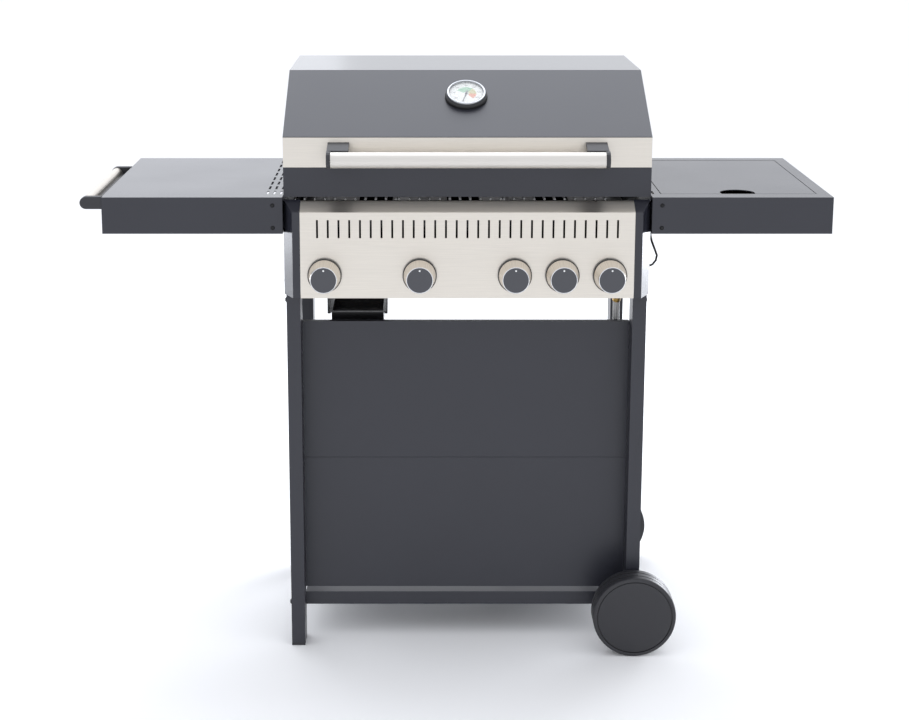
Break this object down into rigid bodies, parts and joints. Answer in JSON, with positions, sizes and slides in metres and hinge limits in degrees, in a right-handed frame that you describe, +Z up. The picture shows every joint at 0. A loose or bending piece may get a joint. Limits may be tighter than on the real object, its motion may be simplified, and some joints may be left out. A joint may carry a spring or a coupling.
{
  "type": "gas barbecue grill",
  "caption": "Freestanding gas barbecue grill on a wheeled cart: hinged lid with thermometer, knobs on a front panel, folded side shelves and a lidded side burner.",
  "frame": {"origin": "on the floor under the middle of the grill's overall width and depth", "axes": "+X to the grill's right as seen from the front, towards the side burner; +Y to the back; +Z up"},
  "size_m": [1.3412, 0.543, 1.068],
  "materials": {
    "black_enamel": "black vitreous enamel",
    "black_rubber": "black rubber insulation",
    "brass": "machined brass",
    "brushed_stainless": "brushed stainless steel",
    "dark_grey_powder_coat": "satin dark grey powder coat",
    "dark_plastic": "moulded dark grey plastic",
    "dial_white": "chromed housing",
    "grey_braid": "rubber hose under a light grey braid",
    "zinc_plated_steel": "zinc plated steel"
  },
  "bodies": {
    "cart": {"bottom_shelf": "dark_grey_powder_coat", "burner_set": "brushed_stainless", "control_panel": "brushed_stainless", "cooking_grate_1": "brushed_stainless", "cooking_grate_2": "brushed_stainless", "cooking_grate_3": "brushed_stainless", "firebox": "black_enamel", "flame_tamer_1": "brushed_stainless", "flame_tamer_2": "brushed_stainless", "flame_tamer_3": "brushed_stainless", "flame_tamer_4": "brushed_stainless", "foot_front_left": "dark_plastic", "foot_rear_left": "dark_plastic", "front_panel_lower": "dark_grey_powder_coat", "front_panel_upper": "dark_grey_powder_coat", "gas_hose": "grey_braid", "gas_manifold": "brass", "gas_regulator": "zinc_plated_steel", "grease_tray_hanger": "black_enamel", "ignition_lead": "black_rubber", "left_shelf": "dark_grey_powder_coat", "leg_front_left": "dark_grey_powder_coat", "leg_front_right": "dark_grey_powder_coat", "leg_rear_left": "dark_grey_powder_coat", "leg_rear_right": "dark_grey_powder_coat", "lid_hinge_pin_left": "zinc_plated_steel", "lid_hinge_pin_right": "zinc_plated_steel", "right_shelf": "dark_grey_powder_coat", "shelf_handle_bar": "brushed_stainless", "shelf_handle_bracket_front": "dark_plastic", "shelf_handle_bracket_rear": "dark_plastic", "side_burner": "brushed_stainless", "side_burner_grid": "black_enamel", "side_burner_pan": "brushed_stainless", "side_panel_left": "dark_grey_powder_coat", "side_panel_right": "dark_grey_powder_coat", "wheel_axle": "zinc_plated_steel"},
    "lid": {"lid_frame": "dark_grey_powder_coat", "lid_band": "brushed_stainless", "lid_front_panel": "dark_grey_powder_coat", "lid_top_panel": "brushed_stainless", "lid_handle_bar": "brushed_stainless", "lid_handle_bracket_left": "dark_plastic", "lid_handle_bracket_right": "dark_plastic", "thermometer": "dial_white"},
    "thermometer_needle": {"thermometer_needle": "dark_plastic"},
    "side_burner_lid": {"side_burner_lid": "dark_grey_powder_coat"},
    "grease_tray": {"grease_tray": "black_enamel"},
    "wheel_front": {"wheel_front": "dark_plastic"},
    "wheel_rear": {"wheel_rear": "dark_plastic"},
    "valve_stem_1": {"valve_stem_1": "brass"},
    "knob_1": {"knob_1": "dark_plastic"},
    "valve_stem_2": {"valve_stem_2": "brass"},
    "knob_2": {"knob_2": "dark_plastic"},
    "valve_stem_3": {"valve_stem_3": "brass"},
    "knob_3": {"knob_3": "dark_plastic"},
    "valve_stem_4": {"valve_stem_4": "brass"},
    "knob_4": {"knob_4": "dark_plastic"},
    "valve_stem_5": {"valve_stem_5": "brass"},
    "knob_5": {"knob_5": "dark_plastic"}
  },
  "joints": [
    {"name": "lid_hinge", "type": "hinge", "parent": "cart", "child": "lid", "pos_m": [0.0193, 0.2455, 0.889], "axis": [-1, 0, 0], "range_deg": [0, 90]},
    {"name": "side_burner_lid_hinge", "type": "hinge", "parent": "cart", "child": "side_burner_lid", "pos_m": [0.5076, 0.1995, 0.858], "axis": [-1, 0, 0], "range_deg": [0, 95]},
    {"name": "grease_tray_slide", "type": "slide", "parent": "cart", "child": "grease_tray", "axis": [0, 1, 0], "range_m": [0, 0.25]},
    {"name": "wheel_front_spin", "type": "hinge", "parent": "cart", "child": "wheel_front", "pos_m": [0.333, -0.2185, 0.077], "axis": [0, 1, 0], "continuous": true},
    {"name": "wheel_rear_spin", "type": "hinge", "parent": "cart", "child": "wheel_rear", "pos_m": [0.333, 0.2485, 0.077], "axis": [0, 1, 0], "continuous": true},
    {"name": "thermometer_needle_turn", "type": "hinge", "parent": "lid", "child": "thermometer_needle", "pos_m": [0.0193, -0.0883, 1.02634], "axis": [0, 0.5161, -0.8565], "range_deg": [0, 285], "stiffness_Nm_per_rad": 0.001, "springref_deg": -17.19},
    {"name": "knob_1_turn", "type": "hinge", "parent": "cart", "child": "valve_stem_1", "pos_m": [-0.2351, -0.2285, 0.7253], "axis": [0, -1, 0], "range_deg": [0, 210]},
    {"name": "knob_1_push", "type": "slide", "parent": "valve_stem_1", "child": "knob_1", "axis": [0, 1, 0], "range_m": [0, 0.0035], "stiffness_N_per_m": 900, "springref_m": -0.003},
    {"name": "knob_2_turn", "type": "hinge", "parent": "cart", "child": "valve_stem_2", "pos_m": [-0.0655, -0.2285, 0.7253], "axis": [0, -1, 0], "range_deg": [0, 210]},
    {"name": "knob_2_push", "type": "slide", "parent": "valve_stem_2", "child": "knob_2", "axis": [0, 1, 0], "range_m": [0, 0.0035], "stiffness_N_per_m": 900, "springref_m": -0.003},
    {"name": "knob_3_turn", "type": "hinge", "parent": "cart", "child": "valve_stem_3", "pos_m": [0.1041, -0.2285, 0.7253], "axis": [0, -1, 0], "range_deg": [0, 210]},
    {"name": "knob_3_push", "type": "slide", "parent": "valve_stem_3", "child": "knob_3", "axis": [0, 1, 0], "range_m": [0, 0.0035], "stiffness_N_per_m": 900, "springref_m": -0.003},
    {"name": "knob_4_turn", "type": "hinge", "parent": "cart", "child": "valve_stem_4", "pos_m": [0.1889, -0.2285, 0.7253], "axis": [0, -1, 0], "range_deg": [0, 210]},
    {"name": "knob_4_push", "type": "slide", "parent": "valve_stem_4", "child": "knob_4", "axis": [0, 1, 0], "range_m": [0, 0.0035], "stiffness_N_per_m": 900, "springref_m": -0.003},
    {"name": "knob_5_turn", "type": "hinge", "parent": "cart", "child": "valve_stem_5", "pos_m": [0.2737, -0.2285, 0.7253], "axis": [0, -1, 0], "range_deg": [0, 210]},
    {"name": "knob_5_push", "type": "slide", "parent": "valve_stem_5", "child": "knob_5", "axis": [0, 1, 0], "range_m": [0, 0.0035], "stiffness_N_per_m": 900, "springref_m": -0.003}
  ]
}
